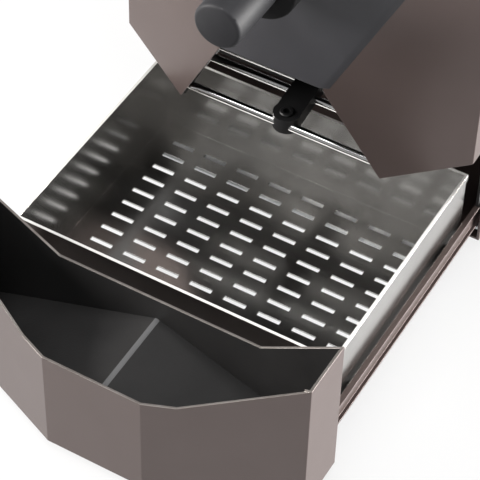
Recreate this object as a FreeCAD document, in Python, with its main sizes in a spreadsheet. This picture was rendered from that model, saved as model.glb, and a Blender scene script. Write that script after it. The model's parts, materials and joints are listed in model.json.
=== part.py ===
import FreeCAD
import Part
import Sketcher
import math
import os

# Home coffee roaster with a pull-out cooling drawer.
# Millimetres, +Z up, +Y towards the back. The origin is on the table, under the middle of the
# roaster with its drawer out as it stands to cool a batch. X = 0 is the plane of symmetry.

# Driving dimensions
DIMENSIONS = {
    "half_width": 100.0,
    "depth": 464.0,
    "facet_half": 27.1,
    "facet_angle": 22.1,
    "sheet_t": 1.5,
    "bowl_depth": 61.0,
    "bowl_base": 6.0,
    "rim_front": 70.0,
    "rim_side": 94.5,
    "rim_knee": 42.5,
    "notch_half": 56.8,
    "notch_height": 67.8,
    "ridge_height": 55.0,
    "ridge_slope": 21.0,
    "travel": 164.5,
    "bin_half": 90.0,
    "bin_front": 72.4,
    "bin_rear": 215.0,
    "bin_base": 14.0,
    "bin_top": 66.0,
    "bin_wall": 1.0,
    "slot_length": 13.0,
    "slot_width": 2.6,
    "rail_inner": 91.6,
    "rail_width": 3.0,
    "rail_low": 19.0,
    "rail_high": 33.0,
    "rail_rear": 290.0,
    "lean": 11.15,
    "panel_t": 2.0,
    "panel_low": 137.0,
    "cut_half": 28.0,
    "tip_reach": 58.0,
    "tip_height": 79.5,
    "side_edge": 97.0,
    "base_front": 227.0,
    "base_low": 9.0,
    "base_lip": 27.0,
    "deck_height": 98.7,
    "bulkhead_front": 214.0,
    "bulkhead_rear": 366.0,
    "axis_height": 203.8,
    "grip_radius": 12.3,
    "grip_end": 111.7,
    "hub_radius": 20.8,
    "hub_front": 147.9,
    "spindle_radius": 4.0,
    "running_gap": 0.05,
    "drum_radius": 52.0,
    "drum_front": 219.0,
    "drum_rear": 353.0,
    "drum_wall": 1.2,
    "vane_height": 14.0,
    "oven_radius": 67.0,
    "probe_x": 34.0,
    "probe_rise": 20.0,
    "heater_radius": 3.5,
    "heater_ring": 60.5,
    "grate_height": 84.8,
    "grate_rise": 4.5,
    "grate_radius": 2.2,
    "bar_front": 181.8,
    "bar_middle": 202.8,
    "bar_rear": 211.3,
    "grate_half": 56.5,
    "spine_half": 7.0,
    "spine_front": 178.3,
    "gear_module": 2.0,
    "gear_teeth": 40.0,
    "pinion_teeth": 12.0,
    "gear_face": 8.0,
    "gear_front": 373.0,
    "fan_radius": 27.0,
    "fan_x": -50.0,
    "fan_z": 150.0,
    "foot_radius": 11.0,
    "foot_height": 9.0,
    "knob_radius": 11.0,
    "knob_height": 15.0,
    "control_y": 318.0,
    "lid_t": 2.0,
    "hopper_half": 42.0,
    "hopper_front": 200.0,
    "hopper_rear": 240.0,
    "hopper_rise": 16.0,
    "screw_radius": 3.0,
}

doc = FreeCAD.newDocument("CoffeeRoaster")
sheet = doc.addObject("Spreadsheet::Sheet", "Dims")
for row, (alias, number) in enumerate(DIMENSIONS.items(), start=1):
    sheet.set("A%d" % row, alias)
    sheet.set("B%d" % row, str(number))
    sheet.setAlias("B%d" % row, alias)
doc.recompute()


class Size:
    """A length with its number and the sheet expression that it comes from."""

    def __init__(self, number, text):
        self.number = number
        self.text = text

    def __add__(self, other):
        other = size(other)
        return Size(self.number + other.number, "(%s + %s)" % (self.text, other.text))

    def __sub__(self, other):
        other = size(other)
        return Size(self.number - other.number, "(%s - %s)" % (self.text, other.text))

    def __mul__(self, other):
        other = size(other)
        return Size(self.number * other.number, "(%s * %s)" % (self.text, other.text))

    def __truediv__(self, other):
        other = size(other)
        return Size(self.number / other.number, "(%s / %s)" % (self.text, other.text))

    def __rtruediv__(self, other):
        return size(other) / self

    def __radd__(self, other):
        return size(other) + self

    def __rsub__(self, other):
        return size(other) - self

    def __rmul__(self, other):
        return size(other) * self

    def __neg__(self):
        return Size(-self.number, "(0 - %s)" % self.text)


def size(value):
    return value if isinstance(value, Size) else Size(float(value), "%.6g" % value)


def tangent(angle):
    angle = size(angle)
    return Size(math.tan(math.radians(angle.number)), "tan(%s)" % angle.text)


class Dimensions:
    """The sheet's cells by alias."""

    def __getattr__(self, alias):
        return Size(DIMENSIONS[alias], "Dims." + alias)


D = Dimensions()

# Depth is measured from the front facet of the pulled-out bowl
FRONT = -(D.depth / 2)


def back(distance):
    """The Y of a place that lies this far behind the pulled-out bowl's front."""
    return FRONT + distance


SIDE_SETBACK = (D.half_width - D.facet_half) * tangent(D.facet_angle)
LEAN = tangent(D.lean)
BODY_TOP = D.panel_low + SIDE_SETBACK / LEAN
REAR = D.depth - 2.0
INNER_HALF = D.half_width - D.sheet_t
NODES = []


def bind(thing, prop, value):
    """Binds a property to the sheet."""
    thing.setExpression(prop, size(value).text)


def put(thing, x, y, z):
    """Binds a placement's base to the sheet."""
    for letter, value in zip("xyz", (x, y, z)):
        bind(thing, "Placement.Base." + letter, value)
    return thing


def box(name, x, y, z):
    """A block between three pairs of low and high sizes."""
    block = doc.addObject("Part::Box", name)
    for prop, (low, high) in zip(("Length", "Width", "Height"), (x, y, z)):
        bind(block, prop, size(high) - low)
    return put(block, x[0], y[0], z[0])


TURN = {
    "X": FreeCAD.Rotation(FreeCAD.Vector(0, 1, 0), 90),
    "Y": FreeCAD.Rotation(FreeCAD.Vector(1, 0, 0), -90),
    "Z": FreeCAD.Rotation(),
}


def rod(name, axis, start, radius, length):
    """A cylinder from start along an axis."""
    cylinder = doc.addObject("Part::Cylinder", name)
    cylinder.Placement.Rotation = TURN[axis]
    bind(cylinder, "Radius", radius)
    bind(cylinder, "Height", length)
    return put(cylinder, *start)


def cut(name, base, *tools):
    """A piece with other shapes taken away."""
    result = doc.addObject("Part::Cut", name)
    result.Base = base
    result.Tool = tools[0] if len(tools) == 1 else fuse(name + "_tools", *tools)
    return result


def fuse(name, *shapes):
    """Several shapes as one."""
    result = doc.addObject("Part::MultiFuse", name)
    result.Shapes = list(shapes)
    return result


def common(name, *shapes):
    """What several shapes share."""
    result = doc.addObject("Part::MultiCommon", name)
    result.Shapes = list(shapes)
    return result


def group(name, *shapes):
    """Separate solids that share one node."""
    result = doc.addObject("Part::Compound", name)
    result.Links = list(shapes)
    return result


def node(thing, label):
    """Makes a shape one of the roaster's named pieces."""
    thing.Label = label
    NODES.append(thing)
    return thing


def origin_plane(body, role):
    for feature in body.Origin.OriginFeatures:
        if feature.Role == role:
            return feature


def fix(sketch, geometry, point, x, y):
    """Ties a sketch point to the sketch's origin by two bound distances."""
    for kind, value in (("DistanceX", x), ("DistanceY", y)):
        value = size(value)
        index = sketch.addConstraint(
            Sketcher.Constraint(kind, -1, 1, geometry, point, value.number)
        )
        sketch.setExpression("Constraints[%d]" % index, value.text)


def draw_loop(sketch, points):
    """A closed outline of straight lines through bound points."""
    spots = [FreeCAD.Vector(size(x).number, size(y).number, 0) for x, y in points]
    first = sketch.GeometryCount
    count = len(spots)
    for i in range(count):
        sketch.addGeometry(Part.LineSegment(spots[i], spots[(i + 1) % count]), False)
    for i in range(count):
        sketch.addConstraint(
            Sketcher.Constraint(
                "Coincident", first + i, 2, first + (i + 1) % count, 1
            )
        )
        fix(sketch, first + i, 1, *points[i])


def draw_circle(sketch, x, y, radius):
    """A bound circle."""
    spot = FreeCAD.Vector(size(x).number, size(y).number, 0)
    circle = Part.Circle(spot, FreeCAD.Vector(0, 0, 1), size(radius).number)
    index = sketch.addGeometry(circle, False)
    fix(sketch, index, 3, x, y)
    place = sketch.addConstraint(
        Sketcher.Constraint("Radius", index, size(radius).number)
    )
    sketch.setExpression("Constraints[%d]" % place, size(radius).text)


def new_sketch(body, role, low, loops, circles):
    """A sketch in a body, on an origin plane moved to a bound level."""
    sketch = body.newObject("Sketcher::SketchObject", body.Name + "_sketch")
    sketch.AttachmentSupport = (origin_plane(body, role), [""])
    sketch.MapMode = "FlatFace"
    sign = -1.0 if role == "XZ_Plane" else 1.0
    bind(sketch, "AttachmentOffset.Base.z", sign * size(low))
    for points in loops:
        draw_loop(sketch, points)
    for x, y, radius in circles:
        draw_circle(sketch, x, y, radius)
    return sketch


def plate(name, role, low, high, *loops, circles=()):
    """A body padded between two levels from an outline, with its openings as more loops."""
    body = doc.addObject("PartDesign::Body", name)
    sketch = new_sketch(body, role, low, loops, circles)
    pad = body.newObject("PartDesign::Pad", name + "_pad")
    pad.Profile = sketch
    pad.Reversed = role == "XZ_Plane"
    bind(pad, "Length", size(high) - low)
    sketch.Visibility = False
    return body


def turned(name, axis, centre, profile):
    """A body revolved from a profile of radius and distance along its axis."""
    body = doc.addObject("PartDesign::Body", name)
    sketch = new_sketch(body, "XZ_Plane", 0.0, [profile], [])
    turn = body.newObject("PartDesign::Revolution", name + "_turn")
    turn.Profile = sketch
    turn.ReferenceAxis = (sketch, ["V_Axis"])
    turn.Angle = 360.0
    body.Placement.Rotation = TURN[axis]
    return put(body, *centre)


def ring(inner, outer, low, high):
    """The profile of a plain ring or tube."""
    return [(inner, low), (outer, low), (outer, high), (inner, high)]


def mirrored(name, source):
    """The same piece on the other side of the plane of symmetry."""
    result = doc.addObject("Part::Mirroring", name)
    result.Source = source
    result.Base = (0, 0, 0)
    result.Normal = (1, 0, 0)
    return result


def block_loop(x_low, x_high, y_low, y_high):
    return [(x_low, y_low), (x_high, y_low), (x_high, y_high), (x_low, y_high)]


def facet_plan(inset, start, rear):
    """The faceted plan of the bowl and the body, moved inwards by a sheet's thickness."""
    front_mitre = tangent(D.facet_angle / 2)
    side_mitre = tangent(45 - D.facet_angle / 2)
    nose = D.facet_half - front_mitre * inset
    side = D.half_width - inset
    nose_y = back(start + inset)
    side_y = back(start + SIDE_SETBACK + side_mitre * inset)
    rear_y = back(rear - inset)
    return [
        (-nose, nose_y),
        (nose, nose_y),
        (side, side_y),
        (side, rear_y),
        (-side, rear_y),
        (-side, side_y),
    ]


# Bowl: the drawer's faceted front, open at the top, with a rising rim and a notched back
def build_bowl():
    outside = plate(
        "bowl_outside", "XY_Plane", D.bowl_base, D.rim_side,
        facet_plan(0, 0, D.bowl_depth),
    )
    inside = plate(
        "bowl_inside", "XY_Plane", D.bowl_base + D.sheet_t, D.rim_side + 5,
        facet_plan(D.sheet_t, 0, D.bowl_depth),
    )
    over = D.half_width + 10
    rise = (D.rim_side - D.rim_front) / (D.half_width - D.rim_knee)
    rim = [
        (-D.rim_knee, D.rim_front),
        (D.rim_knee, D.rim_front),
        (over, D.rim_front + rise * (over - D.rim_knee)),
        (over, D.rim_side + 20),
        (-over, D.rim_side + 20),
        (-over, D.rim_front + rise * (over - D.rim_knee)),
    ]
    rim_cut = plate("bowl_rim_cut", "XZ_Plane", back(-5), back(SIDE_SETBACK), rim)
    climb = (D.rim_side - D.notch_height) / (D.half_width - D.notch_half)
    notch = [
        (-D.notch_half, D.notch_height),
        (D.notch_half, D.notch_height),
        (over, D.notch_height + climb * (over - D.notch_half)),
        (over, D.rim_side + 20),
        (-over, D.rim_side + 20),
        (-over, D.notch_height + climb * (over - D.notch_half)),
    ]
    notch_cut = plate(
        "bowl_notch_cut", "XZ_Plane",
        back(D.bowl_depth - 2 * D.sheet_t), back(D.bowl_depth + 5), notch,
    )
    bowl = cut("bowl", outside, inside, rim_cut, notch_cut)
    node(bowl, "drawer_bowl")

    # The folded chaff floor inside it, ridged along the middle
    fall = tangent(D.ridge_slope)
    reach = D.half_width
    tent = plate(
        "floor_fold", "XZ_Plane", back(D.sheet_t + 0.1), back(D.bowl_depth - D.sheet_t - 0.1),
        [
            (0, D.ridge_height),
            (reach, D.ridge_height - fall * reach),
            (reach, D.ridge_height - fall * reach - D.sheet_t),
            (0, D.ridge_height - D.sheet_t),
            (-reach, D.ridge_height - fall * reach - D.sheet_t),
            (-reach, D.ridge_height - fall * reach),
        ],
    )
    room = plate(
        "floor_room", "XY_Plane", D.bowl_base, D.rim_side,
        facet_plan(D.sheet_t + 0.1, 0, D.bowl_depth),
    )
    node(common("chaff_fold", tent, room), "chaff_floor")


# Cooling bin: stainless, open at the top, with a slotted floor
def build_bin():
    wall = D.bin_wall
    low, high = back(D.bin_front), back(D.bin_rear)
    shell = box("bin_outside", (-D.bin_half, D.bin_half), (low, high), (D.bin_base, D.bin_top))
    room = box(
        "bin_room", (wall - D.bin_half, D.bin_half - wall), (low + wall, high - wall),
        (D.bin_base - 1, D.bin_top + 5),
    )
    margin = 9.0
    columns, rows = 8, 12
    pitch_x = 2 * (D.bin_half - margin) / columns
    pitch_y = (D.bin_rear - D.bin_front - 2 * margin) / rows
    floor = plate(
        "bin_floor", "XY_Plane", D.bin_base, D.bin_base + wall,
        block_loop(-D.bin_half, D.bin_half, low, high),
    )
    row = []
    for i in range(columns):
        x = margin - D.bin_half + pitch_x * (i + 0.5)
        y = low + margin + pitch_y / 2
        row.append(
            block_loop(
                x - D.slot_length / 2, x + D.slot_length / 2,
                y - D.slot_width / 2, y + D.slot_width / 2,
            )
        )
    slots = new_sketch(floor, "XY_Plane", D.bin_base + wall, row, [])
    pocket = floor.newObject("PartDesign::Pocket", "slot_row")
    pocket.Profile = slots
    bind(pocket, "Length", 2 * wall)
    rows_back = floor.newObject("PartDesign::LinearPattern", "slot_rows")
    rows_back.Originals = [pocket]
    rows_back.Direction = (slots, ["V_Axis"])
    bind(rows_back, "Length", pitch_y * (rows - 1))
    rows_back.Occurrences = rows
    floor.Tip = rows_back
    body = fuse("bin_tray", cut("bin_walls", shell, room), floor)
    # Turned-over hem along the top edge
    hem_out = box(
        "hem_out", (-D.bin_half - 0.6, D.bin_half + 0.6), (low - 0.6, high + 0.6),
        (D.bin_top - 4.0, D.bin_top),
    )
    hem_in = box(
        "hem_in", (wall - D.bin_half, D.bin_half - wall), (low + wall, high - wall),
        (D.bin_top - 5.0, D.bin_top + 1.0),
    )
    node(fuse("bin_whole", body, cut("bin_hem", hem_out, hem_in)), "cooling_bin")


# Drawer frame: two folded rails and two cross bars that carry the bin
def build_drawer_frame():
    inner, outer = D.rail_inner, D.rail_inner + D.rail_width
    web = [
        (inner, D.rail_low), (outer, D.rail_low), (outer, D.rail_low + 1.2),
        (inner + 1.2, D.rail_low + 1.2), (inner + 1.2, D.rail_high - 1.2),
        (outer, D.rail_high - 1.2), (outer, D.rail_high), (inner, D.rail_high),
    ]
    right = plate("right_web", "XZ_Plane", back(D.bowl_depth), back(D.rail_rear), web)
    node(right, "right_drawer_rail")
    node(mirrored("left_web", right), "left_drawer_rail")
    bars = []
    for name, near in (("front", D.bin_front + 12.0), ("rear", D.bin_rear - 24.0)):
        bar = box(
            name + "_bar", (-inner, inner), (back(near), back(near + 12.0)),
            (D.bin_base - 1.2, D.bin_base),
        )
        hook = [
            (inner - 1.2, D.bin_base - 1.2), (inner, D.bin_base - 1.2),
            (inner, D.rail_low + 4.0), (inner - 1.2, D.rail_low + 4.0),
        ]
        lug = plate(name + "_lug", "XZ_Plane", back(near), back(near + 12.0), hook)
        bars.append(fuse(name + "_cross", bar, lug, mirrored(name + "_lug_left", lug)))
    node(group("cross_bar_pair", *bars), "cross_bars")


# Base: folded tray, black side frames, slide tracks, feet
def build_base():
    outer = D.half_width - 3.0
    t = D.sheet_t
    tray = [
        (-outer, D.base_low), (outer, D.base_low), (outer, D.base_lip),
        (outer - t, D.base_lip), (outer - t, D.base_low + t),
        (t - outer, D.base_low + t), (t - outer, D.base_lip), (-outer, D.base_lip),
    ]
    node(plate("base_fold", "XZ_Plane", back(D.base_front), back(REAR - 1.6), tray), "base_tray")
    wall = D.half_width - 7.5
    flange = INNER_HALF - 0.1
    keeper = D.rail_high + 0.6
    frame = [
        (flange, D.deck_height), (wall, D.deck_height), (wall, keeper),
        (outer - t, keeper), (outer - t, keeper + t), (wall + t, keeper + t),
        (wall + t, D.deck_height - t), (flange, D.deck_height - t),
    ]
    right = plate("right_wall", "XZ_Plane", back(D.base_front), back(REAR - 1.6), frame)
    node(right, "right_side_frame")
    node(mirrored("left_wall", right), "left_side_frame")
    ledge = [
        (D.rail_inner + 0.4, D.rail_low - 2.0), (outer - t, D.rail_low - 2.0),
        (outer - t, D.rail_low - 0.35), (D.rail_inner + 0.4, D.rail_low - 0.35),
    ]
    right = plate("right_ledge", "XZ_Plane", back(D.base_front), back(REAR - 4.0), ledge)
    node(group("ledge_pair", right, mirrored("left_ledge", right)), "slide_tracks")
    feet = []
    for side in (-1, 1):
        for place, near in enumerate((D.base_front + 16.0, REAR - 24.0)):
            feet.append(
                turned(
                    "foot_%d_%d" % (side + 1, place), "Z", (side * (outer - 16.0), back(near), 0),
                    [
                        (0, 0), (D.foot_radius - 1.5, 0), (D.foot_radius, 1.5),
                        (D.foot_radius - 1.0, D.foot_height), (0, D.foot_height),
                    ],
                )
            )
    node(group("feet_group", *feet), "rubber_feet")


def leaning_slab(name, near, far):
    """The space between two planes that lean back with the front panel."""
    low, high = D.panel_low - 80.0, BODY_TOP + 40.0
    shift = LEAN * (low - D.panel_low)
    rise = LEAN * (high - D.panel_low)
    start = back(D.travel)
    profile = [
        (start + shift + near, low), (start + shift + far, low),
        (start + rise + far, high), (start + rise + near, high),
    ]
    over = D.half_width + 20.0
    return plate(name, "YZ_Plane", -over, over, profile)


# Body shell: faceted left and right sheets, leaning front panel, top cover, rear panel
def build_shell():
    outside = plate(
        "shell_outside", "XY_Plane", D.tip_height - 20, BODY_TOP,
        facet_plan(0, D.travel, REAR + D.sheet_t),
    )
    inside = plate(
        "shell_inside", "XY_Plane", D.tip_height - 30, BODY_TOP + 10,
        facet_plan(D.sheet_t, D.travel, REAR + 2 * D.sheet_t),
    )
    over = D.half_width + 10
    slope = (D.side_edge - D.tip_height) / (D.half_width - D.tip_reach)
    ledge = D.tip_height + slope * (over - D.tip_reach)
    window = [
        (-D.cut_half, D.panel_low), (D.cut_half, D.panel_low),
        (D.tip_reach, D.tip_height), (over, ledge), (over, D.tip_height - 40),
        (-over, D.tip_height - 40), (-over, ledge), (-D.tip_reach, D.tip_height),
    ]
    corner = D.travel + SIDE_SETBACK
    window_cut = plate("window_cut", "XZ_Plane", back(D.travel - 10), back(corner), window)
    side_cut = box(
        "side_cut", (-over, over), (back(corner), back(REAR + 10)),
        (D.tip_height - 40, D.side_edge),
    )
    rear_cut = box("rear_cut", (-over, over), (back(REAR), back(REAR + 20)), (0, BODY_TOP + 20))
    t_lean = D.panel_t * 1.0192
    front_cut = leaning_slab("front_cut", -200.0, t_lean)
    whole = cut("shell_whole", outside, inside, window_cut, side_cut, rear_cut, front_cut)
    for name, x in (("left", (-over, 0)), ("right", (0, over))):
        half = box(
            name + "_half", x, (back(D.travel - 20), back(REAR + 20)), (0, BODY_TOP + 20)
        )
        node(common(name + "_sheet", whole, half), name + "_side_shell")

    # Front panel: lies on the facets' cut edges and carries the handle's hub
    panel_room = plate(
        "panel_room", "XY_Plane", D.panel_low, BODY_TOP,
        facet_plan(0, D.travel, REAR),
    )
    panel = common("panel_flat", panel_room, leaning_slab("panel_slab", 0, t_lean))
    bore = rod(
        "panel_bore", "Y", (0, back(D.travel - 20), D.axis_height), D.spindle_radius + 3.0, 80.0
    )
    node(cut("panel_bored", panel, bore), "front_panel")

    # Top cover: one sheet with the hopper opening, vents and the control opening
    vents = []
    for i in range(9):
        x = 8.0 * (i - 4)
        vents.append(block_loop(x - 1.6, x + 1.6, back(REAR - 78), back(REAR - 30)))
    top = plate(
        "top_sheet", "XY_Plane", BODY_TOP, BODY_TOP + D.sheet_t,
        [
            (-D.half_width, back(corner)), (D.half_width, back(corner)),
            (D.half_width, back(REAR)), (-D.half_width, back(REAR)),
        ],
        block_loop(
            4.0 - D.hopper_half, D.hopper_half - 4.0,
            back(D.hopper_front - 1.0), back(D.hopper_rear - 3.0),
        ),
        block_loop(-62.0, 62.0, back(D.control_y - 20), back(D.control_y + 20)),
        *vents,
    )
    node(top, "top_cover")

    # Rear panel: louvres, fan grille, inlet opening
    louvres = []
    for i in range(8):
        z = BODY_TOP - 30.0 - 9.0 * i
        louvres.append(block_loop(-5.0, 75.0, z - 1.6, z + 1.6))
    grille = []
    for i in range(-3, 4):
        chord = 2.0 * math.sqrt(26.0 ** 2 - (7.0 * i) ** 2)
        z = D.fan_z + 7.0 * i
        grille.append(
            block_loop(D.fan_x - chord / 2, D.fan_x + chord / 2, z - 2.0, z + 2.0)
        )
    rear = plate(
        "rear_sheet", "XZ_Plane", back(REAR - D.sheet_t), back(REAR),
        block_loop(0.1 - INNER_HALF, INNER_HALF - 0.1, D.base_low, BODY_TOP),
        block_loop(39.0, 67.0, 50.0, 71.0),
        *louvres,
        *grille,
    )
    node(rear, "rear_panel")


# Deck and bulkheads: the upper compartment's floor and the drum's two end plates
def build_bulkheads():
    side = INNER_HALF - 0.2
    front = D.bulkhead_front
    node(
        box(
            "deck_sheet", (-side, side), (back(front + D.sheet_t), back(REAR - 1.6)),
            (D.deck_height, D.deck_height + D.sheet_t),
        ),
        "heat_deck",
    )
    inner, outer = 20.0, 47.0
    spread = math.radians(42.0)
    port = []
    for i in range(7):
        angle = -math.pi / 2 - spread + 2 * spread * i / 6
        port.append((outer * math.cos(angle), D.axis_height + outer * math.sin(angle)))
    for i in range(5):
        angle = -math.pi / 2 + spread - 2 * spread * i / 4
        port.append((inner * math.cos(angle), D.axis_height + inner * math.sin(angle)))
    apron = D.grate_height - 3.3
    notch = D.hopper_half + 2.0
    outline = [
        (-side, D.deck_height), (-D.grate_half, D.deck_height), (-D.grate_half, apron),
        (D.grate_half, apron), (D.grate_half, D.deck_height), (side, D.deck_height),
        (side, BODY_TOP), (notch, BODY_TOP), (notch, BODY_TOP - 12.0),
        (-notch, BODY_TOP - 12.0), (-notch, BODY_TOP), (-side, BODY_TOP),
    ]
    feed = block_loop(-16.0, 16.0, D.axis_height + 24.0, D.axis_height + 44.0)
    bush = (0, D.axis_height, 9.0)
    node(
        plate(
            "front_bulk", "XZ_Plane", back(front), back(front + D.sheet_t),
            outline, port, feed,
            circles=[bush, (D.probe_x, D.axis_height + D.probe_rise, 1.2)],
        ),
        "front_bulkhead",
    )
    rear = D.bulkhead_rear
    node(
        plate(
            "rear_bulk", "XZ_Plane", back(rear), back(rear + D.sheet_t),
            block_loop(-side, side, D.deck_height + D.sheet_t, BODY_TOP), circles=[bush],
        ),
        "rear_bulkhead",
    )
    for name, at in (("front", front), ("rear", rear)):
        inner_r = D.spindle_radius + D.running_gap
        flange = 2.0
        body = turned(
            name + "_bush", "Y", (0, back(at), D.axis_height),
            [
                (inner_r, -flange), (13.0, -flange), (13.0, 0), (9.0, 0),
                (9.0, D.sheet_t + 2.0), (inner_r, D.sheet_t + 2.0),
            ],
        )
        node(body, name + "_drum_bush")


# Grate under the drop duct: polished bars through a black spine
def build_grate():
    thin = 1.2
    half = D.grate_half
    slope = D.grate_rise / (D.bar_rear - D.bar_front)

    def level(near):
        return D.grate_height + slope * (near - D.bar_front)

    front, rear = D.travel + 14.6, D.bulkhead_front
    cheek = [
        (back(front), level(front) - 4.5), (back(rear), level(rear) - 4.5),
        (back(rear), D.panel_low + 14.0), (back(front), D.panel_low + 14.0),
    ]
    bars = []
    holes = []
    places = (D.bar_front, D.bar_middle, D.bar_rear)
    for i, near in enumerate(places):
        bars.append(
            rod(
                "bar_%d" % i, "X", (-half - thin, back(near), level(near)),
                D.grate_radius, 2 * (half + thin),
            )
        )
        holes.append((back(near), level(near), D.grate_radius))
    right = plate("right_cheek", "YZ_Plane", half, half + thin, cheek, circles=holes)
    node(right, "right_duct_cheek")
    node(mirrored("left_cheek", right), "left_duct_cheek")
    node(group("bars", *bars), "grate_bars")

    # Spine: a moulded bar with a rounded nose, screwed down at its front end
    nose = D.spine_front + D.spine_half + 0.4
    arm = plate(
        "spine_arm", "YZ_Plane", -D.spine_half, D.spine_half,
        [
            (back(nose), level(nose) - 4.0), (back(rear), level(rear) - 4.0),
            (back(rear), level(rear) + 4.5), (back(nose), level(nose) + 4.5),
        ],
        circles=[
            (back(near), level(near), D.grate_radius) for near in (D.bar_middle, D.bar_rear)
        ],
    )
    boss = rod(
        "spine_boss", "Z", (0, back(nose), level(nose) - 4.2), D.spine_half + 0.4, 9.0
    )
    front_hole = rod(
        "spine_hole", "X", (-20, back(D.bar_front), level(D.bar_front)), D.grate_radius, 40
    )
    screw_place = D.spine_front + 6.8
    seat = level(nose) + 2.6
    well = rod("spine_well", "Z", (0, back(screw_place), seat), 4.0, 6.0)
    node(cut("spine", fuse("spine_body", arm, boss), front_hole, well), "grate_spine")
    node(
        turned(
            "spine_bolt", "Z", (0, back(screw_place), seat),
            [(0, 0), (3.7, 0), (3.7, 2.6), (3.2, 3.1), (1.9, 3.1), (1.9, 1.0), (0, 1.0)],
        ),
        "spine_screw",
    )


# Drum: shell with end ring and flights, on a shaft driven by the gear behind the rear plate
def build_drum():
    centre = (0, FRONT, D.axis_height)
    near, far = D.drum_front, D.drum_rear
    wall = D.drum_wall
    shell = turned(
        "drum_shell", "Y", centre,
        [
            (D.drum_radius, near), (D.drum_radius, far), (9.0, far), (9.0, far - wall),
            (D.drum_radius - wall, far - wall), (D.drum_radius - wall, near + wall),
            (D.drum_radius - 5.0, near + wall), (D.drum_radius - 5.0, near),
        ],
    )
    node(shell, "drum_shell")
    spider = []
    for i in range(3):
        arm = box("arm_%d" % i, (7.0, D.drum_radius - wall - 0.2), (-3.0, 3.0), (0, 2.0))
        holder = doc.addObject("Part::Compound", "arm_turn_%d" % i)
        holder.Links = [arm]
        turn = FreeCAD.Rotation(FreeCAD.Vector(0, 0, 1), 120 * i + 90)
        holder.Placement.Rotation = TURN["Y"].multiply(turn)
        put(holder, 0, back(near + wall), D.axis_height)
        spider.append(holder)
    hub = turned("spider_hub", "Y", centre, ring(D.spindle_radius, 9.0, near, near + 14.0))
    node(fuse("spider", hub, *spider), "drum_spider")
    flights = []
    for i in range(3):
        blade = box(
            "blade_%d" % i,
            (D.drum_radius - wall - D.vane_height, D.drum_radius - wall - 0.05),
            (-0.6, 0.6), (near + 12.0, far - wall),
        )
        holder = doc.addObject("Part::Compound", "blade_turn_%d" % i)
        holder.Links = [blade]
        turn = FreeCAD.Rotation(FreeCAD.Vector(0, 0, 1), 120 * i + 30)
        holder.Placement.Rotation = TURN["Y"].multiply(turn)
        put(holder, *centre)
        flights.append(holder)
    node(group("flights", *flights), "drum_flights")
    collar = 1.0
    shaft = turned(
        "shaft_turned", "Y", centre,
        [
            (0, D.bulkhead_front - 1.5), (D.spindle_radius, D.bulkhead_front - 1.5),
            (D.spindle_radius, D.gear_front + D.gear_face + collar),
            (0, D.gear_front + D.gear_face + collar),
        ],
    )
    hub_back = turned(
        "rear_hub", "Y", centre, ring(D.spindle_radius - 0.5, 9.0, far - wall, far + 6.0)
    )
    node(fuse("shaft_whole", shaft, hub_back), "drum_shaft")


def toothed(name, teeth, start, x, bore, windows=()):
    """A spur gear: a disc at its root circle with one tooth repeated round it."""
    body = doc.addObject("PartDesign::Body", name)
    pitch = D.gear_module * teeth / 2
    root, tip = pitch - 1.15 * D.gear_module, pitch + 0.9 * D.gear_module
    blank = new_sketch(body, "XY_Plane", 0.0, [], [(0, 0, root), (0, 0, bore), *windows])
    disc = body.newObject("PartDesign::Pad", name + "_disc")
    disc.Profile = blank
    bind(disc, "Length", D.gear_face)
    step = 360.0 / teeth
    foot, crown = root * tangent(0.29 * step), tip * tangent(0.12 * step)
    sink = root - 0.6
    profile = new_sketch(
        body, "XY_Plane", 0.0,
        [[(sink, -foot), (root, -foot), (tip, -crown), (tip, crown), (root, foot), (sink, foot)]],
        [],
    )
    tooth = body.newObject("PartDesign::Pad", name + "_tooth")
    tooth.Profile = profile
    bind(tooth, "Length", D.gear_face)
    teeth_round = body.newObject("PartDesign::PolarPattern", name + "_teeth")
    teeth_round.Originals = [tooth]
    teeth_round.Axis = (profile, ["N_Axis"])
    teeth_round.Angle = 360.0
    teeth_round.Occurrences = int(round(size(teeth).number))
    body.Tip = teeth_round
    turn = FreeCAD.Rotation(FreeCAD.Vector(0, 0, 1), start)
    body.Placement.Rotation = TURN["Y"].multiply(turn)
    return put(body, x, back(D.gear_front), D.axis_height)


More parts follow.
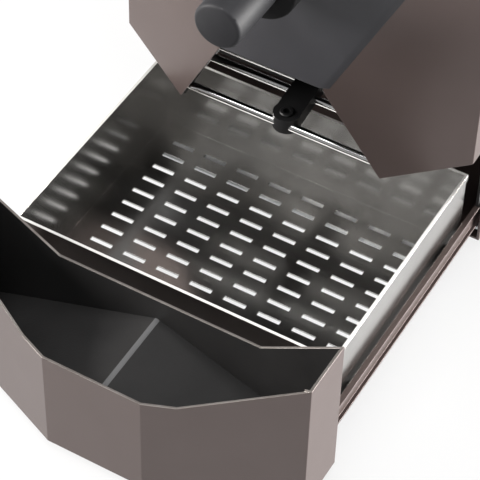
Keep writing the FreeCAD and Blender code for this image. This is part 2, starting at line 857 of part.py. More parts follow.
# Drive: drum gear, pinion, gear motor and bracket
def build_drive():
    apart = D.gear_module * (D.gear_teeth + D.pinion_teeth) / 2
    windows = []
    for i in range(5):
        angle = 2 * math.pi * i / 5
        windows.append((22.0 * math.cos(angle), 22.0 * math.sin(angle), 7.0))
    node(toothed("big_gear", D.gear_teeth, 0.0, 0, D.spindle_radius, windows), "drum_gear")
    half_step = 180.0 / DIMENSIONS["pinion_teeth"]
    small = toothed("small_gear", D.pinion_teeth, half_step, apart, 2.5)
    spindle = rod(
        "pinion_spindle", "Y", (apart, back(D.gear_front - 1.0), D.axis_height), 3.0, 14.9
    )
    node(fuse("pinion_whole", small, spindle), "motor_pinion")
    motor = turned(
        "motor_turned", "Y", (apart, FRONT, D.axis_height),
        [
            (0, D.gear_front + 14.0), (18.5, D.gear_front + 14.0), (18.5, D.gear_front + 36.0),
            (16.0, D.gear_front + 36.0), (16.0, D.gear_front + 66.0), (6.0, D.gear_front + 66.0),
            (6.0, D.gear_front + 69.0), (0, D.gear_front + 69.0),
        ],
    )
    node(motor, "drive_motor")
    rear = D.bulkhead_rear + D.sheet_t
    face = box(
        "bracket_face", (apart - 22.0, apart + 22.0), (back(D.gear_front + 12.0), back(D.gear_front + 14.0)),
        (D.axis_height - 26.0, D.axis_height + 26.0),
    )
    arms = []
    for side in (-1, 1):
        z = D.axis_height + 25.0 * side
        arms.append(
            box(
                "bracket_arm_%d" % (side + 1), (apart - 10.0, apart + 22.0),
                (back(rear), back(D.gear_front + 14.0)), (z - 1.0, z + 1.0),
            )
        )
    bore = rod("bracket_bore", "Y", (apart, back(D.gear_front), D.axis_height), 3.6, 30)
    node(cut("bracket", fuse("bracket_body", face, *arms), bore), "motor_bracket")


# Roasting chamber: curved oven shell and sheathed heater rods under the drum
def build_oven():
    front, rear = D.bulkhead_front + D.sheet_t, D.bulkhead_rear
    centre = (0, FRONT, D.axis_height)
    shell = turned(
        "oven_turned", "Y", centre, ring(D.oven_radius, D.oven_radius + 1.2, front, rear)
    )
    node(shell, "oven_shell")
    rods = []
    for i in range(5):
        angle = math.radians(-90.0 + 26.0 * (i - 2))
        rods.append(
            rod(
                "heater_%d" % i, "Y",
                (
                    D.heater_ring * math.cos(angle), back(front),
                    D.axis_height + D.heater_ring * math.sin(angle),
                ),
                D.heater_radius, rear - front,
            )
        )
    node(group("heaters", *rods), "heater_rods")
    node(
        turned(
            "probe_turned", "Y", (D.probe_x, FRONT, D.axis_height + D.probe_rise),
            [
                (0, front - 8.0), (3.0, front - 8.0), (3.0, front - D.sheet_t),
                (1.2, front - D.sheet_t), (1.2, front + 2.5), (0, front + 2.5),
            ],
        ),
        "temperature_probe",
    )


# Handle: grip and spindle through the hub, turning the shutter over the drop port
def build_handle():
    centre = (0, FRONT, D.axis_height)
    hub_blank = turned(
        "hub_blank", "Y", centre,
        ring(
            D.spindle_radius + D.running_gap, D.hub_radius, D.hub_front, D.travel + 28.0
        ),
    )
    hub = cut("hub_trimmed", hub_blank, leaning_slab("hub_trim", 0, 200))
    node(hub, "handle_hub")
    end, face = D.grip_end, D.hub_front
    soft = 2.0
    node(
        turned(
            "grip_turned", "Y", centre,
            [
                (0, end), (D.grip_radius - soft, end), (D.grip_radius - 0.6, end + 0.6),
                (D.grip_radius, end + soft), (D.grip_radius, face - 0.4),
                (D.spindle_radius, face - 0.4), (D.spindle_radius, end + 8.0), (0, end + 8.0),
            ],
        ),
        "handle_grip",
    )
    plate_at = D.bulkhead_front - 6.0
    node(
        turned(
            "handle_rod", "Y", centre,
            [
                (0, end + 8.0), (D.spindle_radius, end + 8.0),
                (D.spindle_radius, plate_at + 2.0), (0, plate_at + 2.0),
            ],
        ),
        "handle_spindle",
    )
    sector = [(-6.0, D.axis_height + 12.0), (6.0, D.axis_height + 12.0)]
    spread = math.radians(46.0)
    for i in range(9):
        angle = -math.pi / 2 + spread - 2 * spread * i / 8
        sector.append((50.0 * math.cos(angle), D.axis_height + 50.0 * math.sin(angle)))
    sector.reverse()
    node(
        plate(
            "shutter", "XZ_Plane", back(plate_at), back(plate_at + 1.5), sector,
            circles=[(0, D.axis_height, D.spindle_radius)],
        ),
        "drop_shutter",
    )


# Hopper: funnel through the top cover, with a hinged lid
def build_hopper():
    top = BODY_TOP + D.hopper_rise
    mouth = BODY_TOP - 10.0
    shoulder = BODY_TOP + 4.0
    neck_front, neck_rear = D.bulkhead_front - 17.0, D.bulkhead_front - 0.3

    def frustum(name, inset, over):
        wires = []
        for level, half, near, far in (
            (mouth, 17.0, neck_front, neck_rear),
            (shoulder, D.hopper_half, D.hopper_front, D.hopper_rear),
        ):
            body = doc.addObject("Sketcher::SketchObject", "%s_%d" % (name, len(wires)))
            bind(body, "Placement.Base.z", level)
            draw_loop(
                body,
                block_loop(
                    inset - half, half - inset, back(near + inset), back(far - inset)
                ),
            )
            wires.append(body)
        loft = doc.addObject("Part::Loft", name)
        loft.Sections = wires
        loft.Solid = True
        loft.Ruled = True
        collar = box(
            name + "_collar", (inset - D.hopper_half, D.hopper_half - inset),
            (back(D.hopper_front + inset), back(D.hopper_rear - inset)),
            (shoulder - 0.001, top + over),
        )
        low = D.axis_height + 22.0 + inset - over
        neck = box(
            name + "_neck", (inset - 17.0, 17.0 - inset),
            (back(neck_front + inset), back(neck_rear - inset)), (low, mouth + 0.001),
        )
        return fuse(name + "_whole", loft, collar, neck)

    wall = 1.0
    skin = cut("hopper_skin", frustum("hopper_out", 0.0, 0.0), frustum("hopper_in", wall, 5.0))
    window = box(
        "hopper_window", (-16.0, 16.0), (back(neck_rear - 5.0), back(neck_rear + 5.0)),
        (D.axis_height + 24.0, D.axis_height + 44.0),
    )
    clear = box(
        "hopper_clear", (-60.0, 60.0), (back(neck_rear - 0.001), back(D.hopper_rear + 20.0)),
        (0, mouth),
    )
    rail = box(
        "hopper_floor", (-17.0, 17.0), (back(neck_front), back(neck_rear)),
        (D.axis_height + 22.0, D.axis_height + 23.0),
    )
    node(
        cut("hopper_open", fuse("hopper_body", skin, rail), window, clear), "bean_hopper"
    )
    rim = D.hopper_half + 2.5
    lid = box(
        "lid_sheet", (-rim, rim), (back(D.hopper_front - 2.5), back(D.hopper_rear + 1.2)),
        (top + 0.4, top + 0.4 + D.lid_t),
    )
    pin_y, pin_z = back(D.hopper_rear + 6.5), top + 0.4 + D.lid_t
    knuckle = rod("lid_knuckle", "X", (-14.0, pin_y, pin_z), 3.0, 28.0)
    bridge = box(
        "lid_bridge", (-14.0, 14.0), (back(D.hopper_rear + 1.0), pin_y),
        (pin_z - D.lid_t, pin_z),
    )
    bore = rod(
        "lid_bore", "X", (-20.0, pin_y, pin_z), 1.5 + D.running_gap, 40.0
    )
    node(cut("lid_bored", fuse("lid_whole", lid, knuckle, bridge), bore), "hopper_lid")
    node(
        turned(
            "lid_knob_turned", "Z", (0, back(D.hopper_front + 14.0), pin_z),
            [(0, 0), (5.0, 0), (5.0, 4.0), (8.0, 8.0), (8.0, 11.0), (6.5, 12.5), (0, 12.5)],
        ),
        "lid_knob",
    )
    ears = []
    for side in (-1, 1):
        x = (14.4, 17.4) if side > 0 else (-17.4, -14.4)
        ears.append(
            box(
                "ear_%d" % (side + 1), x, (pin_y - 3.5, pin_y + 3.5),
                (BODY_TOP + D.sheet_t, pin_z + 3.0),
            )
        )
    ear_bore = rod("ear_bore", "X", (-20.0, pin_y, pin_z), 1.5, 40.0)
    foot = box(
        "ear_foot", (-17.4, 17.4), (pin_y - 3.5, pin_y + 3.5),
        (BODY_TOP + D.sheet_t, BODY_TOP + 2 * D.sheet_t),
    )
    node(cut("ears", fuse("ear_pair", foot, *ears), ear_bore), "hinge_bracket")
    node(rod("lid_pin", "X", (-17.4, pin_y, pin_z), 1.5, 34.8), "hinge_pin")


# Controls: plate in the top cover with two knobs, a button and a rocker
def build_controls():
    y = back(D.control_y)
    top = BODY_TOP + D.sheet_t
    spots = {"heat": -38.0, "time": -6.0}
    button_x, rocker_x = 22.0, 45.0
    circles = [(x, y, 3.2) for x in spots.values()] + [(button_x, y, 6.3)]
    node(
        plate(
            "control_plate", "XY_Plane", top, top + 1.6,
            block_loop(-66.0, 66.0, y - 24.0, y + 24.0),
            block_loop(rocker_x - 6.0, rocker_x + 6.0, y - 10.4, y + 10.4),
            circles=circles,
        ),
        "control_plate",
    )
    face = top + 1.6
    switches = []
    for name, x in spots.items():
        blank = turned(
            name + "_knob_turned", "Z", (x, y, face + 0.5),
            [
                (0, -8.0), (3.0, -8.0), (3.0, 0), (D.knob_radius, 0),
                (D.knob_radius - 0.8, D.knob_height - 1.5),
                (D.knob_radius - 2.2, D.knob_height), (0, D.knob_height),
            ],
        )
        flute = box(
            name + "_mark", (x - 0.6, x + 0.6), (y + 2.0, y + D.knob_radius),
            (face + D.knob_height - 0.3, face + D.knob_height + 2.0),
        )
        node(cut(name + "_knob_cut", blank, flute), name + "_knob")
        switches.append(
            plate(
                name + "_switch_body", "XY_Plane", top - 16.0, top - 8.2,
                block_loop(x - 8.0, x + 8.0, y - 8.0, y + 8.0),
            )
        )
    node(group("switch_pair", *switches), "dial_switches")
    node(
        turned(
            "button_turned", "Z", (button_x, y, face),
            [(0, -6.0), (6.0, -6.0), (6.0, 2.2), (5.2, 3.0), (0, 3.0)],
        ),
        "start_button",
    )
    rocker = [
        (y - 8.6, face - 5.0), (y + 8.6, face - 5.0), (y + 9.0, face + 1.2),
        (y, face + 0.4), (y - 9.0, face + 3.2),
    ]
    trunnions = rod("rocker_trunnions", "X", (rocker_x - 7.4, y, face - 3.2), 1.3, 14.8)
    paddle = plate("rocker_body", "YZ_Plane", rocker_x - 5.6, rocker_x + 5.6, rocker)
    node(fuse("rocker_whole", paddle, trunnions), "power_rocker")


# Rear compartment: cooling fan, control board, power inlet
def build_rear():
    near = REAR - D.sheet_t - 16.0
    side = 31.0
    node(
        plate(
            "fan_frame", "XZ_Plane", back(near), back(REAR - D.sheet_t),
            block_loop(
                D.fan_x - side, D.fan_x + side, D.fan_z - side, D.fan_z + side
            ),
            circles=[(D.fan_x, D.fan_z, D.fan_radius + 1.0)],
        ),
        "fan_frame",
    )
    strut = box(
        "fan_strut", (D.fan_x - 27.9, D.fan_x + 27.9), (back(near + 0.5), back(near + 2.5)),
        (D.fan_z - 2.5, D.fan_z + 2.5),
    )
    can = rod("fan_can", "Y", (D.fan_x, back(near + 0.5), D.fan_z), 10.0, 4.0)
    stub = rod("fan_stub", "Y", (D.fan_x, back(near + 4.0), D.fan_z), 1.5, 8.0)
    node(fuse("fan_motor_body", strut, can, stub), "fan_motor")
    hub = turned(
        "fan_hub", "Y", (D.fan_x, back(near), D.fan_z),
        [(1.5 + D.running_gap, 5.0), (11.0, 5.0), (11.0, 14.0), (1.5 + D.running_gap, 14.0)],
    )
    blades = []
    for i in range(7):
        blade = doc.addObject("Part::Box", "fan_blade_%d" % i)
        bind(blade, "Length", D.fan_radius - 9.5)
        blade.Width = 11.0
        blade.Height = 1.2
        blade.Placement = FreeCAD.Placement(
            FreeCAD.Vector(9.5, -4.0, 6.4), FreeCAD.Rotation(FreeCAD.Vector(1, 0, 0), 32)
        )
        holder = doc.addObject("Part::Compound", "fan_turn_%d" % i)
        holder.Links = [blade]
        turn = FreeCAD.Rotation(FreeCAD.Vector(0, 0, 1), 360.0 * i / 7)
        holder.Placement.Rotation = TURN["Y"].multiply(turn)
        put(holder, D.fan_x, back(near), D.fan_z)
        blades.append(holder)
    node(fuse("fan_wheel", hub, *blades), "cooling_fan")
    board_x = 4.5 - INNER_HALF
    board = box(
        "board_sheet", (board_x, board_x + 1.6), (back(376.0), back(442.0)),
        (D.axis_height, D.axis_height + 66.0),
    )
    parts = [
        box(
            "board_part_%d" % i, (board_x + 1.0, board_x + reach), (back(y), back(y + wide)),
            (D.axis_height + z, D.axis_height + z + high),
        )
        for i, (y, wide, z, high, reach) in enumerate(
            ((382.0, 22.0, 8.0, 26.0, 22.0), (410.0, 14.0, 10.0, 18.0, 12.0), (384.0, 40.0, 46.0, 12.0, 16.0))
        )
    ]
    node(fuse("board", board, *parts), "control_board")
    posts = [
        rod("post_%d" % i, "X", (0.05 - INNER_HALF, back(y), D.axis_height + z), 2.5, 4.4)
        for i, (y, z) in enumerate(((380.0, 4.0), (438.0, 4.0), (380.0, 62.0), (438.0, 62.0)))
    ]
    node(group("posts", *posts), "board_posts")
    inlet_x, inlet_z = 53.0, 60.5
    block = box(
        "inlet_block", (inlet_x - 13.7, inlet_x + 13.7), (back(REAR - 20.0), back(REAR)),
        (inlet_z - 10.2, inlet_z + 10.2),
    )
    flange = box(
        "inlet_flange", (inlet_x - 17.0, inlet_x + 17.0), (back(REAR), back(D.depth)),
        (inlet_z - 13.0, inlet_z + 13.0),
    )
    mouth = box(
        "inlet_mouth", (inlet_x - 12.0, inlet_x + 12.0), (back(REAR - 15.0), back(D.depth + 5.0)),
        (inlet_z - 8.2, inlet_z + 8.2),
    )
    blades = [
        box(
            "inlet_pin_%d" % i, (inlet_x + x - 1.0, inlet_x + x + 1.0),
            (back(REAR - 16.0), back(REAR - 6.0)), (inlet_z + z - 2.0, inlet_z + z + 2.0),
        )
        for i, (x, z) in enumerate(((-7.0, -1.6), (0.0, 2.0), (7.0, -1.6)))
    ]
    node(
        fuse("inlet", cut("inlet_hollow", fuse("inlet_body", block, flange), mouth), *blades),
        "power_inlet",
    )


def screw(name, axis, spot, head, turn=1):
    """A pan-head screw that stands on a face."""
    body = turned(
        name, axis, spot,
        [(0, 0), (head, 0), (head, 0.7 * turn), (head - 1.2, 1.6 * turn), (0, 1.6 * turn)],
    )
    return body


# Fasteners in groups
def build_screws():
    rear = [
        screw("rear_screw_%d" % i, "Y", (x, back(REAR), z), D.screw_radius)
        for i, (x, z) in enumerate(
            (x, z) for x in (-88.0, 88.0) for z in (40.0, 180.0, BODY_TOP - 12.0)
        )
    ]
    top = [
        screw("top_screw_%d" % i, "Z", (x, back(y), BODY_TOP + D.sheet_t), D.screw_radius)
        for i, (x, y) in enumerate((x, y) for x in (-88.0, 88.0) for y in (212.0, 446.0))
    ]
    node(group("screws", *rear, *top), "case_screws")


build_bowl()
build_bin()
build_drawer_frame()
build_base()
build_shell()
build_bulkheads()
build_grate()
build_drum()
build_drive()
build_oven()
build_handle()
build_hopper()
build_controls()
build_rear()
build_screws()
doc.recompute()

# Every object is sound before anything is written
for thing in doc.Objects:
    if "Invalid" in thing.State or "Error" in thing.State:
        raise RuntimeError("%s (%s) failed: %s" % (thing.Name, thing.Label, thing.State))
for piece in NODES:
    if piece.Shape.isNull() or not piece.Shape.isValid() or not piece.Shape.Solids:
        raise RuntimeError("%s has no sound solid" % piece.Label)

os.makedirs("parts", exist_ok=True)
for piece in NODES:
    piece.Shape.exportStep("parts/%s.step" % piece.Label)
print("%d pieces written" % len(NODES))
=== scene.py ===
"""Looks of a countertop drum coffee roaster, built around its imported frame.

Lengths are metres. The origin is on the table, +Y runs from the drawer's front to the back.
"""

import json
import math

import bmesh
import bpy
from mathutils import Matrix, Vector
from mathutils.bvhtree import BVHTree


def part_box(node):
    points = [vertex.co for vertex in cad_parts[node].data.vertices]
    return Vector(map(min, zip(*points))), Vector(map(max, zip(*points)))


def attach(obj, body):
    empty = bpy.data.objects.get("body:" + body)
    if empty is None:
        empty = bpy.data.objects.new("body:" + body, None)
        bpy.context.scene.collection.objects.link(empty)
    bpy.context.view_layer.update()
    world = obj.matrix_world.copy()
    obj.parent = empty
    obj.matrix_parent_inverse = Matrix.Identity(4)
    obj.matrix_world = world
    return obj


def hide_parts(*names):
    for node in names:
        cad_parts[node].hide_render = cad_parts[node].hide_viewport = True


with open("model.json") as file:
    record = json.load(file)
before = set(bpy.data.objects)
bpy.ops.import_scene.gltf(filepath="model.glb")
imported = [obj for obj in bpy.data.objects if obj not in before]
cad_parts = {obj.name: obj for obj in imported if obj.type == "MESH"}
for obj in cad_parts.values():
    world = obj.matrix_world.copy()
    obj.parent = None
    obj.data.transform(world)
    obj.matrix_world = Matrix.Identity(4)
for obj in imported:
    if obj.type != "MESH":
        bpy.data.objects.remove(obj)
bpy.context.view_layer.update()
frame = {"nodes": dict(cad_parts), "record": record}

MM = 0.001
TURN = 2.0 * math.pi

# Camera at the photograph's viewing angle
CAMERA_AT = Vector((0.3629, -0.7505, 0.8583))
CAMERA_RIGHT = Vector((0.8648, 0.5018, 0.0201))
CAMERA_UP = Vector((-0.3821, 0.6316, 0.6745))
CAMERA_BACK = Vector((0.3257, -0.5910, 0.7380))
CAMERA_LENS = 162.5
SENSOR = 36.0


def make_camera():
    """A long lens at the fitted place."""
    data = bpy.data.cameras.new("camera")
    data.lens = CAMERA_LENS
    data.sensor_width = SENSOR
    data.clip_end = 30.0
    camera = bpy.data.objects.new("camera", data)
    axes = Matrix((CAMERA_RIGHT, CAMERA_UP, CAMERA_BACK)).transposed()
    camera.matrix_world = Matrix.Translation(CAMERA_AT) @ axes.to_4x4()
    bpy.context.collection.objects.link(camera)
    bpy.context.scene.camera = camera


# Shader maths

class Value:
    """A socket of a material, so that sums written on it add their own nodes."""

    def __init__(self, finish, socket):
        self.finish = finish
        self.socket = socket

    def _math(self, operation, *others):
        return self.finish.node(
            "Math", {"operation": operation}, dict(enumerate((self,) + others))
        )

    def __add__(self, other):
        return self._math("ADD", other)

    def __sub__(self, other):
        return self._math("SUBTRACT", other)

    def __mul__(self, other):
        return self._math("MULTIPLY", other)

    def __rsub__(self, other):
        return self.finish.node("Math", {"operation": "SUBTRACT"}, {0: other, 1: self})

    def __lt__(self, other):
        return self._math("LESS_THAN", other)

    def __gt__(self, other):
        return self._math("GREATER_THAN", other)

    def __mod__(self, other):
        return self._math("FLOORED_MODULO", other)

    def absolute(self):
        return self._math("ABSOLUTE")

    def sine(self):
        return self._math("SINE")

    def ramp(self, low, high):
        return self.finish.node(
            "MapRange", {"clamp": True}, {"Value": self, "From Min": low, "From Max": high}
        )


class Finish:
    """A material whose nodes are added by name."""

    def __init__(self, name):
        self.material = bpy.data.materials.new(name)
        self.material.use_nodes = True
        self.tree = self.material.node_tree
        self.tree.nodes.clear()
        self.out = self.tree.nodes.new("ShaderNodeOutputMaterial")
        self.place = self.node("TexCoord", outlet="Object")

    def node(self, kind, settings=None, sockets=None, outlet=0):
        made = self.tree.nodes.new("ShaderNode" + kind)
        for name, setting in (settings or {}).items():
            setattr(made, name, setting)
        for name, value in (sockets or {}).items():
            if isinstance(value, Value):
                self.tree.links.new(value.socket, made.inputs[name])
            else:
                made.inputs[name].default_value = value
        return Value(self, made.outputs[outlet])

    def stretched(self, x, y, z):
        return self.node("Mapping", {}, {"Vector": self.place, "Scale": (x, y, z)})

    def grain(self, size, detail=2.0, roughness=0.5, vector=None, seed=0.0):
        """Noise whose features are about size metres across."""
        return self.node(
            "TexNoise", {"noise_dimensions": "4D"},
            {
                "Vector": vector or self.place, "Scale": 1.0 / size, "Detail": detail,
                "Roughness": roughness, "W": seed,
            },
        )

    def cells(self, size):
        """A flat random colour for each cell about size metres across."""
        return self.node(
            "TexVoronoi", {}, {"Vector": self.place, "Scale": 1.0 / size}, "Color"
        )

    def part(self, name, vector=None):
        """One of X, Y or Z of a vector."""
        return self.node("SeparateXYZ", {}, {"Vector": vector or self.place}, name)

    def blend(self, factor, first, second):
        """A colour between two, through the colour sockets of a mix node."""
        factor_in, first_in, second_in, colour_out = 0, 6, 7, 2
        return self.node(
            "Mix", {"data_type": "RGBA"},
            {factor_in: factor, first_in: first, second_in: second}, colour_out,
        )

    def bump(self, height, depth, strength):
        return self.node(
            "Bump", {}, {"Height": height, "Distance": depth, "Strength": strength}
        )

    def surface(self, **sockets):
        names = {name.replace("_", " "): value for name, value in sockets.items()}
        shader = self.node("BsdfPrincipled", {}, names)
        self.tree.links.new(shader.socket, self.out.inputs["Surface"])
        return self.material


# Finishes

def paler(colour, gain, lift):
    """An opaque colour with each part raised."""
    return tuple(min(1.0, part * gain + lift) for part in colour[:3]) + (1.0,)


def metallic_paint(name, dark, light, roughness=0.38, metallic=0.48):
    """Satin paint with fine metal flake over a faint orange peel."""
    f = Finish(name)
    flake = f.part("X", f.cells(0.35 * MM))
    drift = f.grain(28 * MM, 3.0)
    shade = (flake * 0.32 + drift * 0.68).ramp(0.25, 0.75)
    peel = f.grain(0.9 * MM, 2.0, seed=2.0)
    smudge = f.grain(60 * MM, 5.0, 0.62, seed=5.0)
    return f.surface(
        Base_Color=f.blend(shade, dark, light),
        Metallic=flake * 0.12 + (metallic - 0.06),
        Roughness=smudge * 0.07 + (roughness - 0.035),
        Coat_Weight=0.12,
        Coat_Roughness=0.22,
        Normal=f.bump(peel, 0.02 * MM, 0.55),
    )


def powder_coat(name, base, roughness, texture=1.15 * MM, depth=0.10 * MM, sheen=0.55):
    """Textured powder coat: a fine leathery grain with small glossy peaks."""
    f = Finish(name)
    pebbles = f.grain(texture, 3.0, 0.55)
    patches = f.grain(24 * MM, 4.0, 0.6, seed=3.0)
    dust = f.grain(1.6 * MM, 6.0, 0.7, seed=8.0).ramp(0.66, 0.80)
    shade = f.blend(patches.ramp(0.3, 0.7), base, paler(base, 1.22, 0.002))
    return f.surface(
        Base_Color=f.blend(dust * 0.35, shade, paler(base, 2.2, 0.012)),
        Roughness=pebbles * 0.16 + patches * 0.08 + (roughness - 0.12),
        Normal=f.bump(pebbles, depth, 0.7),
        Specular_IOR_Level=sheen,
    )


def polished_stainless():
    """Bright stainless with a faint rolled grain and finger-soft smudges."""
    f = Finish("polished_stainless")
    rolled = f.grain(1.0, 4.0, 0.6, f.stretched(90.0, 2600.0, 2600.0))
    smudge = f.grain(40 * MM, 5.0, 0.65, seed=4.0)
    return f.surface(
        Base_Color=f.blend(
            smudge.ramp(0.3, 0.75), (0.43, 0.42, 0.405, 1), (0.53, 0.52, 0.505, 1)
        ),
        Metallic=1.0,
        Roughness=rolled * 0.10 + smudge * 0.10 + 0.08,
        Normal=f.bump(rolled, 0.004 * MM, 0.4),
    )


def chrome():
    """Drawn and plated wire."""
    f = Finish("bar_chrome")
    drawn = f.grain(1.0, 3.0, 0.5, f.stretched(60.0, 3200.0, 3200.0))
    haze = f.grain(9 * MM, 4.0, 0.6, seed=6.0)
    return f.surface(
        Base_Color=f.blend(haze, (0.88, 0.88, 0.88, 1), (0.96, 0.96, 0.95, 1)),
        Metallic=1.0,
        Roughness=drawn * 0.03 + haze * 0.04 + 0.06,
    )


def moulded_plastic(name, base, roughness, texture, gloss):
    """Moulded plastic with a spark-eroded grain and a slight bloom."""
    f = Finish(name)
    spark = f.grain(texture, 3.0, 0.6)
    bloom = f.grain(18 * MM, 4.0, 0.6, seed=7.0)
    return f.surface(
        Base_Color=f.blend(bloom.ramp(0.3, 0.8), base, paler(base, 1.3, 0.004)),
        Roughness=spark * 0.14 + bloom * 0.08 + (roughness - 0.10),
        Normal=f.bump(spark, 0.02 * MM, 0.6),
        Specular_IOR_Level=gloss,
    )


def galvanised_steel():
    """Zinc-coated sheet with its frost-like spangle."""
    f = Finish("galvanised_steel")
    spangle = f.part("X", f.cells(7 * MM))
    frost = f.grain(1.0, 5.0, 0.7, f.stretched(300.0, 1100.0, 700.0))
    tone = spangle * 0.7 + frost * 0.3
    return f.surface(
        Base_Color=f.blend(tone, (0.36, 0.37, 0.38, 1), (0.60, 0.61, 0.61, 1)),
        Metallic=0.9,
        Roughness=spangle * 0.18 + frost * 0.12 + 0.28,
        Normal=f.bump(frost, 0.008 * MM, 0.4),
    )


def heat_darkened_steel():
    """Bare steel that the roasts have turned straw, brown and blue."""
    f = Finish("heat_darkened_steel")
    run = f.part("Y") * 9.0 + f.grain(20 * MM, 4.0, 0.6) * 0.9
    tint = f.blend(run.sine().absolute(), (0.20, 0.15, 0.10, 1), (0.09, 0.09, 0.12, 1))
    soot = f.grain(3 * MM, 6.0, 0.7, seed=9.0).ramp(0.5, 0.75)
    return f.surface(
        Base_Color=f.blend(soot * 0.6, tint, (0.03, 0.025, 0.02, 1)),
        Metallic=0.85,
        Roughness=soot * 0.25 + 0.30,
        Normal=f.bump(soot, 0.02 * MM, 0.5),
    )


def machined_steel():
    """Turned and hobbed steel with an oil film."""
    f = Finish("machined_steel")
    cut = f.grain(1.0, 3.0, 0.5, f.stretched(1400.0, 1400.0, 200.0))
    oil = f.grain(8 * MM, 5.0, 0.6, seed=1.0)
    return f.surface(
        Base_Color=f.blend(oil, (0.32, 0.32, 0.33, 1), (0.50, 0.49, 0.47, 1)),
        Metallic=1.0,
        Roughness=cut * 0.12 + oil * 0.15 + 0.18,
        Normal=f.bump(cut, 0.01 * MM, 0.5),
    )


def bearing_bronze():
    """Porous bronze, dark where the oil sits."""
    f = Finish("bearing_bronze")
    pores = f.grain(0.5 * MM, 3.0, 0.6)
    tone = f.grain(6 * MM, 4.0, 0.6, seed=2.0)
    return f.surface(
        Base_Color=f.blend(tone, (0.45, 0.28, 0.10, 1), (0.66, 0.46, 0.20, 1)),
        Metallic=1.0,
        Roughness=pores * 0.2 + 0.26,
        Normal=f.bump(pores, 0.01 * MM, 0.5),
    )


def foot_rubber():
    """Dull black rubber with a grey bloom."""
    f = Finish("foot_rubber")
    grit = f.grain(0.5 * MM, 4.0, 0.7)
    bloom = f.grain(6 * MM, 3.0, 0.6, seed=3.0)
    return f.surface(
        Base_Color=f.blend(bloom, (0.012, 0.012, 0.012, 1), (0.035, 0.034, 0.033, 1)),
        Roughness=grit * 0.2 + 0.62,
        Normal=f.bump(grit, 0.03 * MM, 0.7),
    )


def circuit_lacquer():
    """Green solder mask over copper tracks."""
    f = Finish("circuit_lacquer")
    across_per_metre, across_share = 260.0, 0.16
    along_per_metre, along_share = 190.0, 0.14
    across = (f.part("X") * across_per_metre % 1.0 - 0.5).absolute() < across_share
    along = (f.part("Z") * along_per_metre % 1.0 - 0.5).absolute() < along_share
    blocks = f.part("X", f.cells(9 * MM)) > 0.5
    tracks = (across * blocks + along * (1.0 - blocks)).ramp(0.0, 1.0)
    return f.surface(
        Base_Color=f.blend(tracks, (0.008, 0.075, 0.03, 1), (0.02, 0.17, 0.06, 1)),
        Roughness=tracks * 0.1 + 0.25,
        Normal=f.bump(tracks, 0.035 * MM, 0.7),
        Coat_Weight=0.4,
    )


def heater_sheath():
    """The scaled metal sleeve of a heating rod."""
    f = Finish("heater_sheath")
    scale = f.grain(1.4 * MM, 5.0, 0.7)
    return f.surface(
        Base_Color=f.blend(
            scale.ramp(0.35, 0.7), (0.10, 0.085, 0.075, 1), (0.27, 0.24, 0.21, 1)
        ),
        Metallic=0.7,
        Roughness=scale * 0.3 + 0.34,
        Normal=f.bump(scale, 0.02 * MM, 0.6),
    )


def rubbed_edge():
    """A lighter, more metallic paint for the sheet's cut edge: a painted highlight along the
    bowl's rim.
    """
    f = Finish("rubbed_edge")
    highlight_grain = f.grain(12 * MM, 4.0, 0.6, seed=2.0).ramp(0.3, 0.7)
    return f.surface(
        Base_Color=f.blend(highlight_grain, (0.13, 0.115, 0.105, 1), (0.20, 0.185, 0.175, 1)),
        Metallic=0.6,
        Roughness=highlight_grain * 0.06 + 0.34,
    )


def sheared_edge():
    """A bright, less metallic finish for the top edge of the stainless bin: a painted
    highlight.
    """
    f = Finish("sheared_edge")
    edge_grain = f.grain(6 * MM, 4.0, 0.6, seed=6.0)
    return f.surface(
        Base_Color=f.blend(edge_grain, (0.58, 0.57, 0.55, 1), (0.70, 0.69, 0.67, 1)),
        Metallic=0.25,
        Roughness=edge_grain * 0.08 + 0.30,
    )


def printed_mark():
    """Pale screen-printed ink."""
    f = Finish("printed_mark")
    fade = f.grain(0.7 * MM, 4.0, 0.7)
    return f.surface(
        Base_Color=f.blend(fade, (0.60, 0.59, 0.57, 1), (0.78, 0.77, 0.75, 1)),
        Roughness=fade * 0.2 + 0.45,
    )


TAUPE = metallic_paint("taupe_paint", (0.079, 0.0575, 0.0530, 1), (0.090, 0.067, 0.0625, 1))
PANEL = powder_coat(
    "panel_paint", (0.0180, 0.0178, 0.0212, 1), roughness=0.46, texture=1.0 * MM,
    depth=0.06 * MM,
)
POWDER = powder_coat(
    "black_powder", (0.0155, 0.0150, 0.0150, 1), roughness=0.46, sheen=0.26
)
# Lighter powder coat for the rounded ridge of the chaff floor: a painted highlight along the
# bend.
RIDGE_HIGHLIGHT = powder_coat(
    "ridge_painted_highlight", (0.075, 0.075, 0.077, 1), roughness=0.42, sheen=0.60
)
STAINLESS = polished_stainless()
CHROME = chrome()
ZINC = galvanised_steel()
GRIP = moulded_plastic(
    "grip_plastic", (0.0105, 0.0105, 0.0122, 1), roughness=0.54, texture=0.35 * MM, gloss=0.22
)
BLACK = moulded_plastic(
    "black_plastic", (0.005, 0.005, 0.0054, 1), roughness=0.46, texture=0.3 * MM, gloss=0.28
)
HUB = moulded_plastic(
    "hub_plastic", (0.0035, 0.0035, 0.0038, 1), roughness=0.52, texture=0.3 * MM, gloss=0.10
)
DARK_STEEL = heat_darkened_steel()
MACHINED = machined_steel()
BRONZE = bearing_bronze()
RUBBER = foot_rubber()
CIRCUIT = circuit_lacquer()
HEATER = heater_sheath()
RIM_HIGHLIGHT = rubbed_edge()
BIN_EDGE_HIGHLIGHT = sheared_edge()
MARK = printed_mark()

